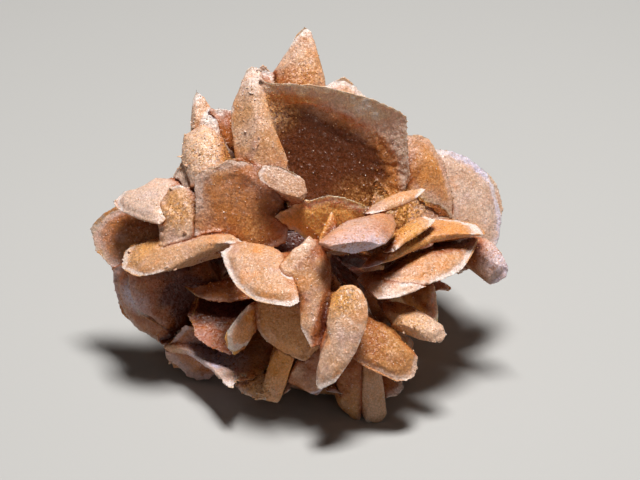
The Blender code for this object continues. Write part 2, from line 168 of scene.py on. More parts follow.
# Patches of bright frost, given in the same way. The first three, along the bowl's rim, are painted light
# coming through the rim.
FROST_PATCHES = (
    ((2.0, 35.0, 4.0), 5.0, 0.35),
    ((13.0, 30.5, 4.0), 5.5, 0.40),
    ((22.0, 23.0, 4.0), 5.0, 0.35),
    ((9.0, 2.0, 26.0), 5.0, 0.25),
    ((-12.0, 31.0, 5.0), 4.0, 0.5),
    ((-15.0, 15.0, 10.0), 4.0, 0.3),
    ((7.0, -3.5, 26.5), 5.0, 0.9),
    ((13.0, -2.5, 27.0), 4.5, 0.8),
    ((-30.0, 24.0, 10.0), 5.0, 0.8),
    ((-17.0, 40.0, 10.0), 6.0, 0.7),
    ((-47.0, -15.0, 0.0), 4.5, 0.9),
    ((-30.0, -30.0, 6.0), 6.0, 0.5),
    ((-24.0, -33.0, 8.0), 6.0, 0.8),
    ((27.0, -21.0, 18.0), 5.0, 0.7),
    ((45.0, -5.0, 5.0), 5.0, 0.7),
    ((-12.0, -38.0, 12.0), 5.0, 0.5),
)

# Where the frost turns from cream to violet.
VIOLET_PATCHES = (
    ((10.0, -3.5, 27.0), 8.0, 1.0),
    ((46.0, 6.0, -2.0), 9.0, 1.0),
    ((40.0, 19.0, -4.0), 9.0, 1.0),
    ((45.0, -7.0, 4.0), 6.0, 0.8),
    ((-30.0, -30.0, 6.0), 13.0, 1.0),
    ((-48.0, -15.0, 0.0), 8.0, 0.9),
    ((-2.0, -36.0, 18.0), 8.0, 0.7),
)

# Patches of painted shade in the deep hollows.
HOLLOWS = (
    ((6.5, -8.0, -2.5), 8.0, 0.7),
    ((5.0, -8.5, 6.0), 7.0, 0.5),
    ((-37.0, -13.0, 1.0), 6.5, 0.5),
    ((-5.0, 0.0, 0.4), 8.0, 0.8),
    ((-13.0, 1.0, 6.0), 4.0, 0.35),
)

# Growth steps: inside this outline, given as x and u on the face, a blade's front is lower.
GROWTH_STEPS = {
    "great_bowl": (
        (-16, 36.6), (-8, 36.6), (-1.4, 35.6), (4.5, 32), (12.8, 28.6), (16.3, 25),
        (19, 21), (19.9, 17), (20, 12), (22, 0), (-20, 0), (-20, 30),
    ),
    "left_shield": (
        (-29, 15), (-25, 16), (-20, 17), (-15, 14), (-10, 8), (-8, 0), (-20, -6), (-29, 0),
    ),
    "front_tongue": (
        (4.5, -12.5), (8, -12.6), (9.4, -15), (9.6, -19), (8.6, -24), (6, -29.5), (2, -33.5),
        (-0.5, -34), (3.4, -22), (4, -16),
    ),
    "right_fan": (
        (28, 20), (33, 19.6), (38, 17), (41.4, 12.6), (43, 7), (42, 0), (38, -6), (20, -6),
        (22, 14),
    ),
}
# How far the front is lowered inside each step, in millimetres.
STEP_DEPTH = {"great_bowl": 0.7, "left_shield": 0.35, "front_tongue": 0.3, "right_fan": 0.4}
# How much painted shade the blade's colour takes inside its step: darker, and more amber near the step's
# edge as a painted glow.
STEP_SHADE = {"great_bowl": 1.0, "left_shield": 0.10, "front_tongue": 0.05, "right_fan": 0.0}
# Large flat natural faces: the way that each faces, in right, up and out on the rose's face,
# and how far below the crystal's farthest point it lies, in millimetres.
FLATS = {
    "eye_blade": ((0.12, -0.62, 0.78, 2.6), (-0.10, 0.75, 0.65, 0.7)),
    "left_shelf": ((-0.25, -0.70, 0.67, 0.9),),
    "sugar_wedge": ((-0.30, -0.55, 0.78, 1.6), (0.2, 0.8, 0.6, 0.6)),
    "crown_spire": ((0.45, 0.1, 0.89, 0.8), (-0.5, 0.2, 0.84, 0.8)),
    "tower_blade": ((0.40, 0.1, 0.91, 0.9), (-0.45, 0.1, 0.88, 0.8)),
    "mid_upper_leaf": ((0.05, 0.20, 0.98, 1.3), (0.35, -0.35, 0.86, 1.0)),
    "slim_wing": ((0.0, -0.6, 0.8, 0.8),),
}
# How strongly a thin blade's colour is painted with the glow of light coming through it: painted light.
PAINTED_GLOW = {
    "lip_blade": 0.9, "great_bowl": 0.3, "stalk_blade": 0.4, "right_fin": 0.5, "foot_left": 0.3,
    "heart_thorn": 0.5, "foot_right": 0.25, "upper_shelf": 0.3, "inner_fan": 0.3,
    "brown_petal": 0.35, "amber_blade": 0.3, "back_low_right": 0.5,
}
# How much paler a blade is all over: partly its own paler gypsum, partly painted light on the bowl's rim
# and on upward-facing sheets.
BLEACHED_AND_LIT = {
    "great_bowl": 0.6, "left_top_sheet": 0.5, "left_crag": 0.4, "left_slope": 0.6,
    "tower_tip": 0.3, "right_fan": 0.2, "eye_blade": 0.15, "left_shelf": 0.1,
    "lower_left_wing": 0.2, "foot_right": 0.1, "sugar_wedge": 0.2, "left_spire": 0.1,
}
# How much deeper in shade a blade's colour is than its place says; negative where less.
SHADED = {
    "pocket_petal": 0.5, "left_edge_blade": 0.35, "left_low_facet": 0.2, "lower_mid_petal": 0.25,
    "shadow_leaf": 0.2, "back_left_wing": 0.5, "right_lower_petal": 0.22, "centre_leaf": 0.12,
    "crown_spire": 0.12, "mid_upper_leaf": 0.15, "right_knob": 0.15, "foot_left": 0.15,
    "spine_blade": 0.05, "brown_petal": -0.15, "dark_pocket": -0.12, "foot_right": -0.2,
    "lip_blade": -0.35, "great_bowl": -0.3, "upper_shelf": -0.1, "left_slope": -0.4,
    "right_fin": -0.1,
}
# How frosted a blade's rim is; 1 where it isn't listed.
RIM_FROST = {
    "great_bowl": 0.5, "left_shield": 0.7, "inner_fan": 0.4, "lip_blade": 0.6, "shadow_leaf": 0.3,
    "stalk_blade": 0.4, "brown_petal": 0.4, "pocket_petal": 0.0, "dark_pocket": 0.0,
    "left_low_facet": 0.4, "left_cup": 0.6, "low_cup": 0.5, "mid_upper_leaf": 0.7,
    "spine_blade": 0.7, "right_lower_petal": 0.7, "tower_blade": 0.8,
}

# Flat faces at random, two sets to a blade: the tilt in radians from the blade's own plane,
# and the depth as a share of half its thickness, up to a most.
CHANCE_FLATS = ((0.06, 0.22), (0.26, 0.20), (0.34, 0.20))
DEEPEST_CHANCE_FLAT = 0.7 * MM

# How a crystal is measured and worked.
MOST_THICKNESS = 8 * MM  # a crystal counts as no thicker than this
SKY_REACH = 16 * MM  # what is farther off than this shades nothing
LOOKS_ROUND = (  # directions about a normal: how far along it, to its side, and forward
    (1.0, 0.0, 0.0),
    (0.55, 0.83, 0.0),
    (0.55, -0.42, 0.72),
    (0.55, -0.42, -0.72),
)
MOST_GROWTH = 0.45 * MM  # how far a crystal swells to reach its neighbour
OVERLAP = 0.15 * MM  # and how far it then runs into it
THINNEST_RIM = 0.30  # share of its thickness that the rim keeps
STEP_SLOPE = 1.6  # width of the slope down into a growth step, in millimetres
STEP_FADE = 6.5  # width over which the stain deepens inside it, in millimetres

# Widths of the surface's pitting, in metres.
SWELL_WIDTH, FACET_WIDTH, NICK_WIDTH, CRUST_WIDTH = 11 * MM, 3.4 * MM, 1.5 * MM, 1.3 * MM

# Widths of the patterns in the gypsum's colour and sheen, in metres.
BROAD, TINT, MOTTLE, FINE, SPARKLE = 0.014, 0.006, 0.0035, 0.0008, 0.00042
GYPSUM_IOR = 1.52

# A bud's half length, half width and half thickness for a length of 1, how much it narrows
# towards its ends, its lengths in millimetres, and its finish.
BUD_SHAPE = (1, 0.62, 0.20)
BUD_TAPER = 0.35
BUD_LENGTHS = (0.4, 1.0)
BUD_FINISH = {
    "openness": 0.9, "growth_step": 0.0, "rim_frost": 0.6, "painted_glow": 0.0, "bleached_and_lit": 0.4,
}

# The stage, in metres: its lamps' names, places, widths and watts.
LAMPS = (
    ("overhead softbox", (0.05, 0.02, 0.76), 0.20, 8.4),
    ("front fill", (0.25, -1.1, 0.75), 0.8, 0.35),
)
FLOOR_WIDTH = 4.0
FLOOR_COLOUR = (0.46, 0.45, 0.43)
ROOM_COLOUR = (1, 0.94, 0.88, 1)
ROOM_LIGHT = 0.04
LENS_LENGTH, SENSOR_WIDTH = 200, 36  # millimetres


def length_setting(name, description, default, **limits):
    return FloatProperty(
        name=name,
        description=description,
        default=default,
        subtype="DISTANCE",
        unit="LENGTH",
        **limits,
    )


def colour_setting(name, description, default):
    return FloatVectorProperty(
        name=name,
        description=description,
        subtype="COLOR",
        default=default,
        min=0.0,
        max=1.0,
    )


class SandRoseSettings(bpy.types.PropertyGroup):
    """The rose's sizes and colours."""

    grain: length_setting(
        "Surface grain", "Edge length of the crystals' finished mesh", 0.00038, min=0.0003
    )
    edge: length_setting(
        "Edge", "Thickness below which a blade thins down to its rim", 0.0031
    )
    swell: length_setting(
        "Swell", "Height of the broad waves on a blade's faces", 0.0005
    )
    pitting: length_setting(
        "Pitting", "Depth of the small pits and lumps", 0.00016
    )
    ragged: length_setting(
        "Ragged rims", "How far a rim strays from its smooth outline", 0.001
    )
    joining: length_setting(
        "Joining", "Blades this close to each other grow together", 0.0009
    )
    bud_count: IntProperty(
        name="Crystal buds",
        description="How many small crystals grow on the crusted blades",
        default=130,
        min=0,
    )
    grain_count: IntProperty(
        name="Sand grains",
        description="How many loose grains lie on the rose",
        default=6500,
        min=0,
    )
    caramel: colour_setting(
        "Caramel gypsum", "Colour of the brown blades", (0.50, 0.165, 0.048)
    )
    pale: colour_setting(
        "Pale gypsum", "Colour of the blades that are most worn", (0.66, 0.34, 0.165)
    )
    # Amber is the gypsum's own tone on the amber blades and in random tints, and a painted glow near the
    # edge of a growth step.
    amber: colour_setting(
        "Amber gypsum", "Colour where light passes through a thin blade", (0.74, 0.26, 0.04)
    )
    sandy: colour_setting(
        "Sandy gypsum", "Colour of the blades crusted with sand", (0.60, 0.29, 0.12)
    )
    frost: colour_setting(
        "Frosted rim", "Colour of the chalky rims", (0.84, 0.68, 0.61)
    )
    sand: colour_setting(
        "Loose sand", "Colour of the ochre sand", (0.82, 0.38, 0.085)
    )
    violet: colour_setting(
        "Violet frost", "Colour of the clearest, coldest rims", (0.74, 0.68, 0.86)
    )
    rose: colour_setting(
        "Rosy gypsum", "Colour of the clearer, greyer areas of a blade", (0.56, 0.33, 0.28)
    )
    # Painted light: the colour of light glowing through a thin blade.
    painted_glow: colour_setting(
        "Glowing gypsum", "Colour of a thin blade that light comes through", (0.95, 0.46, 0.13)
    )
    # Painted shade: a blade's colour where it goes down between its neighbours.
    shade: colour_setting(
        "Blade's foot", "Colour of a blade where it goes down between its neighbours", (0.37, 0.085, 0.011)
    )
    # Painted shade: the darkest colour, in the hollows between the blades and deep in growth steps.
    hollow: colour_setting(
        "Deep hollow", "Colour of the shade-darkened gypsum between the blades", (0.10, 0.013, 0.004)
    )


# ---------------------------------------------------------------- materials


def socket_link(tree, source, target):
    tree.links.new(source, target)


def add_node(tree, kind, **values):
    """A node of that kind with its settings; a value named like a socket sets the socket."""
    node = tree.nodes.new(kind)
    for key, value in values.items():
        if hasattr(node, key):
            setattr(node, key, value)
        else:
            node.inputs[key.replace("_", " ")].default_value = value
    return node


def noise(tree, place, size, detail=3.0, rough=0.55):
    """Noise whose lumps are about size metres across."""
    node = add_node(tree, "ShaderNodeTexNoise")
    node.inputs["Scale"].default_value = 1.0 / size
    node.inputs["Detail"].default_value = detail
    node.inputs["Roughness"].default_value = rough
    socket_link(tree, place, node.inputs["Vector"])
    return node


def ramp(tree, source, low, high, start=0.0, end=1.0):
    """The source, stretched smoothly so that low gives start and high gives end."""
    node = add_node(tree, "ShaderNodeMapRange")
    node.interpolation_type = "SMOOTHSTEP"
    node.inputs["From Min"].default_value = low
    node.inputs["From Max"].default_value = high
    node.inputs["To Min"].default_value = start
    node.inputs["To Max"].default_value = end
    socket_link(tree, source, node.inputs["Value"])
    return node.outputs["Result"]


def combine(tree, operation, first, second):
    node = add_node(tree, "ShaderNodeMath", operation=operation)
    for socket, value in zip(node.inputs, (first, second)):
        if isinstance(value, (int, float)):
            socket.default_value = value
        else:
            socket_link(tree, value, socket)
    return node.outputs[0]


def blend_colour(tree, factor, first, second):
    node = add_node(tree, "ShaderNodeMix", data_type="RGBA")
    sockets = {"Factor": node.inputs[0], "A": node.inputs[6], "B": node.inputs[7]}
    for key, value in (("Factor", factor), ("A", first), ("B", second)):
        if isinstance(value, (int, float)):
            sockets[key].default_value = value
        elif isinstance(value, bpy.types.NodeSocket):
            socket_link(tree, value, sockets[key])
        else:
            sockets[key].default_value = (*value, 1.0)
    return node.outputs[2]


def attribute(tree, name):
    return add_node(tree, "ShaderNodeAttribute", attribute_name=name).outputs["Fac"]


def facet_normal(tree, place, size, tilt):
    """The surface's normal, tipped a little way at random on each grain of that size."""
    cells = add_node(tree, "ShaderNodeTexVoronoi")
    cells.inputs["Scale"].default_value = 1.0 / size
    socket_link(tree, place, cells.inputs["Vector"])
    centred = add_node(tree, "ShaderNodeVectorMath", operation="SUBTRACT")
    centred.inputs[1].default_value = (0.5, 0.5, 0.5)
    socket_link(tree, cells.outputs["Color"], centred.inputs[0])
    tipped = add_node(tree, "ShaderNodeVectorMath", operation="SCALE")
    socket_link(tree, centred.outputs[0], tipped.inputs[0])
    socket_link(tree, tilt, tipped.inputs["Scale"])
    surface = add_node(tree, "ShaderNodeNewGeometry")
    added = add_node(tree, "ShaderNodeVectorMath", operation="ADD")
    socket_link(tree, surface.outputs["Normal"], added.inputs[0])
    socket_link(tree, tipped.outputs[0], added.inputs[1])
    unit = add_node(tree, "ShaderNodeVectorMath", operation="NORMALIZE")
    socket_link(tree, added.outputs[0], unit.inputs[0])
    return unit.outputs[0], cells


def bump(tree, height, distance, strength, normal=None):
    node = add_node(tree, "ShaderNodeBump")
    node.inputs["Distance"].default_value = distance
    node.inputs["Strength"].default_value = strength
    socket_link(tree, height, node.inputs["Height"])
    if normal is not None:
        socket_link(tree, normal, node.inputs["Normal"])
    return node.outputs["Normal"]


def new_material(name):
    material = bpy.data.materials.new(name)
    material.use_nodes = True
    tree = material.node_tree
    shader = tree.nodes["Principled BSDF"]
    return material, tree, shader


def body_colour(tree, place, body, light, settings, sky, mottle, step):
    """The gypsum's colour, with painted glow on thin blades and painted shade deepening it towards the
    blade's foot and then into the hollows.
    """
    broad = noise(tree, place, BROAD, 2.0).outputs["Fac"]
    tint = noise(tree, place, TINT, 2.0).outputs["Fac"]
    colour = blend_colour(tree, ramp(tree, broad, 0.40, 0.62), body, light)
    for amount, over in (
        (ramp(tree, mottle, 0.50, 0.70, 0.0, 0.35), settings.amber),
        (ramp(tree, tint, 0.54, 0.68, 0.0, 0.45), settings.rose),
        (ramp(tree, tint, 0.46, 0.34, 0.0, 0.45), settings.amber),
        # Partly the gypsum's own paler tone, partly painted light.
        (attribute(tree, "bleached_and_lit"), settings.frost),
        # Painted light: the glow of light coming through a thin blade.
        (attribute(tree, "painted_glow"), settings.painted_glow),
        # Painted shade: darker towards a blade's foot, where less open space lies over it.
        (ramp(tree, sky, 0.95, 0.50, 0.0, 0.90), settings.shade),
        # Inside a growth step: a painted amber glow near its edge, then painted shade deeper in.
        (ramp(tree, step, 0.02, 0.35, 0.0, 0.85), settings.amber),
        (ramp(tree, step, 0.30, 0.90, 0.0, 0.86), settings.hollow),
        # Painted shade: darkest in the hollows between the blades.
        (ramp(tree, sky, 0.55, 0.18, 0.0, 0.95), settings.hollow),
    ):
        colour = blend_colour(tree, amount, colour, over)
    return colour


def frost_cover(tree, open_sky, mottle, fine, step):
    """Where chalky frost lies: on the thin rims and in patches, broken up by the mottling; white specks
    are painted glints where the surface is open.
    """
    thin = attribute(tree, "thickness")
    rim_edge = combine(tree, "ADD", thin, combine(tree, "MULTIPLY", mottle, 0.0010))
    veil = ramp(tree, rim_edge, 0.0018, 0.0008, 0.0, 0.33)
    line = ramp(tree, rim_edge, 0.0010, 0.0007, 0.0, 0.52)
    frost = combine(tree, "ADD", veil, line)
    for share in (
        attribute(tree, "rim_frost"),
        ramp(tree, open_sky, 0.45, 0.85),
        ramp(tree, step, 0.02, 0.30, 1.0, 0.0),
    ):
        frost = combine(tree, "MULTIPLY", frost, share)
    broken = ramp(tree, fine, 0.30, 0.52)
    patch = combine(tree, "MULTIPLY", attribute(tree, "frost_patch"), broken)
    # Painted glints: fine white specks where the surface is open.
    glint_specks = ramp(tree, fine, 0.60, 0.70, 0.0, 0.50)
    painted_glints = combine(tree, "MULTIPLY", glint_specks, ramp(tree, open_sky, 0.2, 0.8))
    return combine(tree, "MAXIMUM", combine(tree, "MAXIMUM", frost, patch), painted_glints)


def sand_cover(tree, open_sky, mottle, fine, sandiness):
    """Where loose sand lies: in patches and in the angles between the blades."""
    drift = ramp(tree, combine(tree, "ADD", open_sky, mottle), 0.98, 0.62, 0.0, 0.7)
    drift = combine(tree, "MULTIPLY", drift, ramp(tree, open_sky, 0.25, 0.55))
    drift = combine(tree, "MULTIPLY", drift, sandiness)
    broken = ramp(tree, fine, 0.36, 0.56)
    dust = combine(tree, "MULTIPLY", attribute(tree, "sand_patch"), broken)
    return combine(tree, "MAXIMUM", drift, dust)


def gypsum_material(name, body, light, settings, sandiness, translucence):
    """Weathered gypsum: frosted rims, painted amber glow on thin blades, painted shade in the hollows."""
    material, tree, shader = new_material(name)
    place = add_node(tree, "ShaderNodeTexCoord").outputs["Object"]
    open_sky = attribute(tree, "openness")
    step = attribute(tree, "growth_step")
    mottle = noise(tree, place, MOTTLE, 4.0, 0.65).outputs["Fac"]
    fine = noise(tree, place, FINE, 3.0, 0.7).outputs["Fac"]
    uneven_sky = combine(tree, "ADD", open_sky, ramp(tree, mottle, 0.3, 0.7, -0.10, 0.10))

    colour = body_colour(tree, place, body, light, settings, uneven_sky, mottle, step)
    violet = attribute(tree, "violet_patch")
    frost_colour = blend_colour(tree, violet, settings.frost, settings.violet)
    frost = frost_cover(tree, open_sky, mottle, fine, step)
    colour = blend_colour(tree, frost, colour, frost_colour)
    sand = sand_cover(tree, open_sky, mottle, fine, sandiness)
    colour = blend_colour(tree, sand, colour, settings.sand)

    # Each grain of the surface is tipped its own way, the sand's more than the gypsum's.
    tilt = combine(tree, "ADD", combine(tree, "MULTIPLY", sand, 0.5), 0.34)
    facets, cells = facet_normal(tree, place, SPARKLE, tilt)
    shaded = add_node(tree, "ShaderNodeVectorMath", operation="SCALE")
    socket_link(tree, colour, shaded.inputs[0])
    shade = ramp(tree, cells.outputs["Distance"], 0.0, 0.9, 1.10, 0.80)
    socket_link(tree, shade, shaded.inputs["Scale"])
    socket_link(tree, shaded.outputs[0], shader.inputs["Base Color"])

    normal = bump(tree, mottle, 0.0005, 0.6, facets)
    normal = bump(tree, fine, 0.0003, 0.8, normal)
    socket_link(tree, normal, shader.inputs["Normal"])

    rough = ramp(tree, fine, 0.35, 0.65, 0.22, 0.52)
    socket_link(tree, rough, shader.inputs["Roughness"])
    shader.inputs["IOR"].default_value = GYPSUM_IOR
    shader.inputs["Subsurface Weight"].default_value = translucence
    shader.inputs["Subsurface Radius"].default_value = (1.0, 0.75, 0.55)
    shader.inputs["Subsurface Scale"].default_value = 0.0008
    return material


def grain_material(name, body, light, rough, clear):
    """Sand or sugar-like grains, each a slightly different colour."""
    material, tree, shader = new_material(name)
    place = add_node(tree, "ShaderNodeTexCoord").outputs["Object"]
    shade = noise(tree, place, 0.0012, 2.0).outputs["Fac"]
    colour = blend_colour(tree, ramp(tree, shade, 0.35, 0.65), body, light)
    socket_link(tree, colour, shader.inputs["Base Color"])
    polish = noise(tree, place, 0.0007, 2.0).outputs["Fac"]
    sheen = ramp(tree, polish, 0.3, 0.7, rough * 0.6, rough)
    socket_link(tree, sheen, shader.inputs["Roughness"])
    socket_link(tree, bump(tree, polish, 0.0001, 0.5), shader.inputs["Normal"])
    shader.inputs["IOR"].default_value = GYPSUM_IOR
    shader.inputs["Subsurface Weight"].default_value = clear
    shader.inputs["Subsurface Radius"].default_value = (1.0, 0.6, 0.3)
    shader.inputs["Subsurface Scale"].default_value = 0.0006
    return material


def plain_material(name, colour, rough):
    """The stage's floor."""
    material, tree, shader = new_material(name)
    place = add_node(tree, "ShaderNodeTexCoord").outputs["Object"]
    shade = noise(tree, place, 0.3, 2.0).outputs["Fac"]
    darker = tuple(part * 0.96 for part in colour)
    socket_link(tree, blend_colour(tree, shade, darker, colour), shader.inputs["Base Color"])
    shader.inputs["Roughness"].default_value = rough
    return material


def material_for(slot, settings):
    """The finish of a record slot, made once."""
    name = slot.replace("_", " ") + ", weathered"
    known = bpy.data.materials.get(name)
    if known:
        return known
    body, light, sandiness, translucence = {
        "gypsum_caramel": (settings.caramel, settings.pale, 0.5, 0.5),
        "gypsum_pale": (settings.pale, settings.frost, 0.45, 0.45),
        "gypsum_amber": (settings.amber, settings.pale, 0.35, 0.8),
        "gypsum_sandy": (settings.sandy, settings.pale, 0.85, 0.35),
    }[slot]
    light = tuple(a * 0.6 + b * 0.4 for a, b in zip(body, light))
    return gypsum_material(name, tuple(body), light, settings, sandiness, translucence)


# ---------------------------------------------------------------- crystals


def cloud_texture(name, size, depth=2):
    """Soft cloudy noise with lumps of about that size."""
    made = bpy.data.textures.get(name)
    if made is None:
        made = bpy.data.textures.new(name, "CLOUDS")
        made.noise_basis = "IMPROVED_PERLIN"
        made.noise_scale = size
        made.noise_depth = depth
    return made


def facet_texture(name, size):
    """Little flat-sided mounds of about that size, as on crusts of small crystals."""
    made = bpy.data.textures.get(name)
    if made is None:
        made = bpy.data.textures.new(name, "VORONOI")
        made.noise_scale = size
        made.noise_intensity = 1.0
        made.distance_metric = "DISTANCE"
        made.weight_1 = -1.0
        made.weight_2 = 1.0
    return made


def displace(piece, pattern, strength, direction="NORMAL", middle=0.5, group=""):
    change = piece.modifiers.new(pattern.name, "DISPLACE")
    change.texture = pattern
    change.texture_coords = "GLOBAL"
    change.strength = strength
    change.direction = direction
    change.mid_level = middle
    change.vertex_group = group
    return change


def settle(piece):
    """Makes the piece's modifiers part of its mesh."""
    bpy.context.view_layer.update()
    graph = bpy.context.evaluated_depsgraph_get()
    made = bpy.data.meshes.new_from_object(piece.evaluated_get(graph))
    old = piece.data
    piece.modifiers.clear()
    piece.data = made
    bpy.data.meshes.remove(old)
    made.name = piece.name


def vertex_places(mesh):
    places = np.empty(len(mesh.vertices) * 3, np.float32)
    mesh.vertices.foreach_get("co", places)
    return places.reshape(-1, 3)


def set_places(mesh, places):
    mesh.vertices.foreach_set("co", np.ascontiguousarray(places, np.float32).ravel())
    mesh.update()


def vertex_normals(mesh):
    normals = np.empty(len(mesh.vertices) * 3, np.float32)
    mesh.vertex_normals.foreach_get("vector", normals)
    return normals.reshape(-1, 3)


def store(mesh, name, values):
    layer = mesh.attributes.new(name, "FLOAT", "POINT")
    layer.data.foreach_set("value", np.ascontiguousarray(values, np.float32))


def spread_evenly(mesh, values, rounds):
    """The values, each averaged with its neighbours' a few times."""
    ends = edge_ends(mesh)
    many = len(values)
    count = np.bincount(ends.ravel(), minlength=many) + 1.0
    for _ in range(rounds):
        total = values + np.bincount(ends[:, 0], values[ends[:, 1]], many)
        total += np.bincount(ends[:, 1], values[ends[:, 0]], many)
        values = total / count
    return values


def edge_ends(mesh):
    ends = np.empty(len(mesh.edges) * 2, np.int32)
    mesh.edges.foreach_get("vertices", ends)
    return ends.reshape(-1, 2)


def lowest_near(mesh, values, rounds):
    """The lowest of each value and its neighbours', taken a few times."""
    first, second = edge_ends(mesh).T
    for _ in range(rounds):
        lowest = values.copy()
        np.minimum.at(lowest, first, values[second])
        np.minimum.at(lowest, second, values[first])
        values = lowest
    return values


def tree_of(mesh):
    return BVHTree.FromPolygons(
        [vertex.co for vertex in mesh.vertices],
        [tuple(polygon.vertices) for polygon in mesh.polygons],
    )


def thickness_of(mesh):
    """How far the far side of the crystal is behind each vertex."""
    tree = tree_of(mesh)
    thickness = np.full(len(mesh.vertices), MOST_THICKNESS)
    for index, vertex in enumerate(mesh.vertices):
        inward = -vertex.normal
        start = vertex.co + inward * 0.05 * MM
        distance = tree.ray_cast(start, inward, MOST_THICKNESS)[3]
        if distance is not None:
            thickness[index] = distance
    return thickness


def sharpen_rim(mesh, edge_thickness):
    """Thins the crystal towards its rim, so that it ends in an edge and not in a round."""
    thickness = spread_evenly(mesh, thickness_of(mesh), 1)
    share = np.clip(thickness / edge_thickness, THINNEST_RIM, 1.0)
    push = 0.5 * thickness * (1 - share**1.2)
    push = spread_evenly(mesh, push, 5)
    set_places(mesh, vertex_places(mesh) - vertex_normals(mesh) * push[:, None])


def mark_rim(piece, edge_thickness):
    """A vertex group that is strong on the thin rim and fades towards the middle."""
    thickness = spread_evenly(piece.data, thickness_of(piece.data), 4)
    weights = np.clip(1.3 - thickness / edge_thickness, 0.0, 1.0)
    group = piece.vertex_groups.new(name="rim")
    for step in range(1, 11):
        chosen = np.flatnonzero(np.round(weights * 10) == step)
        if len(chosen):
            group.add(chosen.tolist(), step / 10, "REPLACE")


def tree_of_blades(left_out=""):
    """The CAD blades, all or all but one, as one tree to measure from and cast rays at."""
    places, faces = [], []
    for name, node in frame["nodes"].items():
        if name == left_out:
            continue
        first = len(places)
        places.extend(vertex.co.copy() for vertex in node.data.vertices)
        faces.extend(
            tuple(first + corner for corner in face.vertices)
            for face in node.data.polygons
        )
    return BVHTree.FromPolygons(places, faces)


def grow_together(mesh, name, reach):
    """Swells the crystal into the blades that it lies against, so that no gap is left."""
    others = tree_of_blades(left_out=name)
    push = np.zeros(len(mesh.vertices))
    for index, vertex in enumerate(mesh.vertices):
        spot, _, _, distance = others.find_nearest(vertex.co, reach)
        if spot is not None and (spot - vertex.co).dot(vertex.normal) > 0.5 * distance:
            push[index] = min(distance, MOST_GROWTH) + OVERLAP
    push = spread_evenly(mesh, push, 1)
    set_places(mesh, vertex_places(mesh) + vertex_normals(mesh) * push[:, None])


def inside_outline(spots, outline):
    """For each spot, how far it is inside the outline: negative where it is outside."""
    corners = np.array(outline, float)
    inside = np.zeros(len(spots), bool)
    nearest = np.full(len(spots), np.inf)
    for start, end in zip(corners, np.roll(corners, -1, axis=0)):
        run = end - start
        share = np.clip(((spots - start) @ run) / (run @ run), 0, 1)
        gap = np.linalg.norm(spots - start - share[:, None] * run, axis=1)
        nearest = np.minimum(nearest, gap)
        rising = (start[1] > spots[:, 1]) != (end[1] > spots[:, 1])
        if run[1]:
            crossing = start[0] + (spots[:, 1] - start[1]) * run[0] / run[1]
            inside ^= rising & (spots[:, 0] < crossing)
    return np.where(inside, nearest, -nearest)


def cut_growth_step(mesh, name):
    """Lowers the blade's front inside its growth step, and stores where that is."""
    zone = np.zeros(len(mesh.vertices))
    if name in GROWTH_STEPS:
        spots = on_face(vertex_places(mesh))[:, :2]
        normals = vertex_normals(mesh)
        out = np.array(face_point(0, 0, 1) - HEART) / MM
        front = np.clip((normals @ out - 0.1) / 0.3, 0, 1)
        wobble = 0.3 * np.sin(spots[:, 0] * 0.9) * np.sin(spots[:, 1] * 0.8 + 1)
        inside = inside_outline(spots, GROWTH_STEPS[name]) + wobble
        depth = np.clip(inside / STEP_SLOPE, 0, 1)
        lowered = front * depth * depth * (3 - 2 * depth)
        deepest = np.minimum(STEP_DEPTH[name] * MM, 0.25 * thickness_of(mesh))
        push = spread_evenly(mesh, lowered * deepest, 6)
        set_places(mesh, vertex_places(mesh) - normals * push[:, None])
        # The stored zone sets the painted shade inside the step, with a painted amber glow near its edge.
        zone = front * np.clip((inside + 1.0) / STEP_FADE, 0, 1) * STEP_SHADE[name]
    store(mesh, "growth_step", spread_evenly(mesh, zone, 4))


def openness_of(mesh, rose):
    """How much open space lies over each vertex, from none in a cleft to 1 outside."""
    places, normals = vertex_places(mesh), vertex_normals(mesh)
    side = np.cross(normals, (0.31, 0.59, 0.74))
    side /= np.linalg.norm(side, axis=1)[:, None] + 1e-9
    forward = np.cross(normals, side)
    looks = [normals * a + side * b + forward * c for a, b, c in LOOKS_ROUND]
    starts = places + normals * 0.9 * MM
    openness = np.zeros(len(places))
    for index in range(len(places)):
        start = Vector(starts[index])
        for look in looks:
            distance = rose.ray_cast(start, Vector(look[index]), SKY_REACH)[3]
            openness[index] += 1.0 if distance is None else distance / SKY_REACH
    return openness / len(LOOKS_ROUND)


def cover_of(mesh, spots):
    """How strongly the spots, given on the rose's face, cover each vertex."""
    places = vertex_places(mesh)
    amount = np.zeros(len(places))
    for (x, u, w), width, strength in spots:
        away = np.linalg.norm(places - np.array(face_point(x, u, w)), axis=1)
        cover = np.clip(1.35 - away / (width * MM), 0.0, 1.0)
        amount = np.maximum(amount, strength * cover)
    return amount


def mark_patches(mesh):
    for name, spots in (
        ("sand_patch", SAND_PATCHES),
        ("frost_patch", FROST_PATCHES),
        ("violet_patch", VIOLET_PATCHES),
    ):
        store(mesh, name, cover_of(mesh, spots))


def cut_flat(places, facing, depth):
    """The places, none of them farther that way than the flat face."""
    reach = places @ facing
    above = np.maximum(reach - (reach.max() - depth), 0)
    return places - above[:, None] * facing


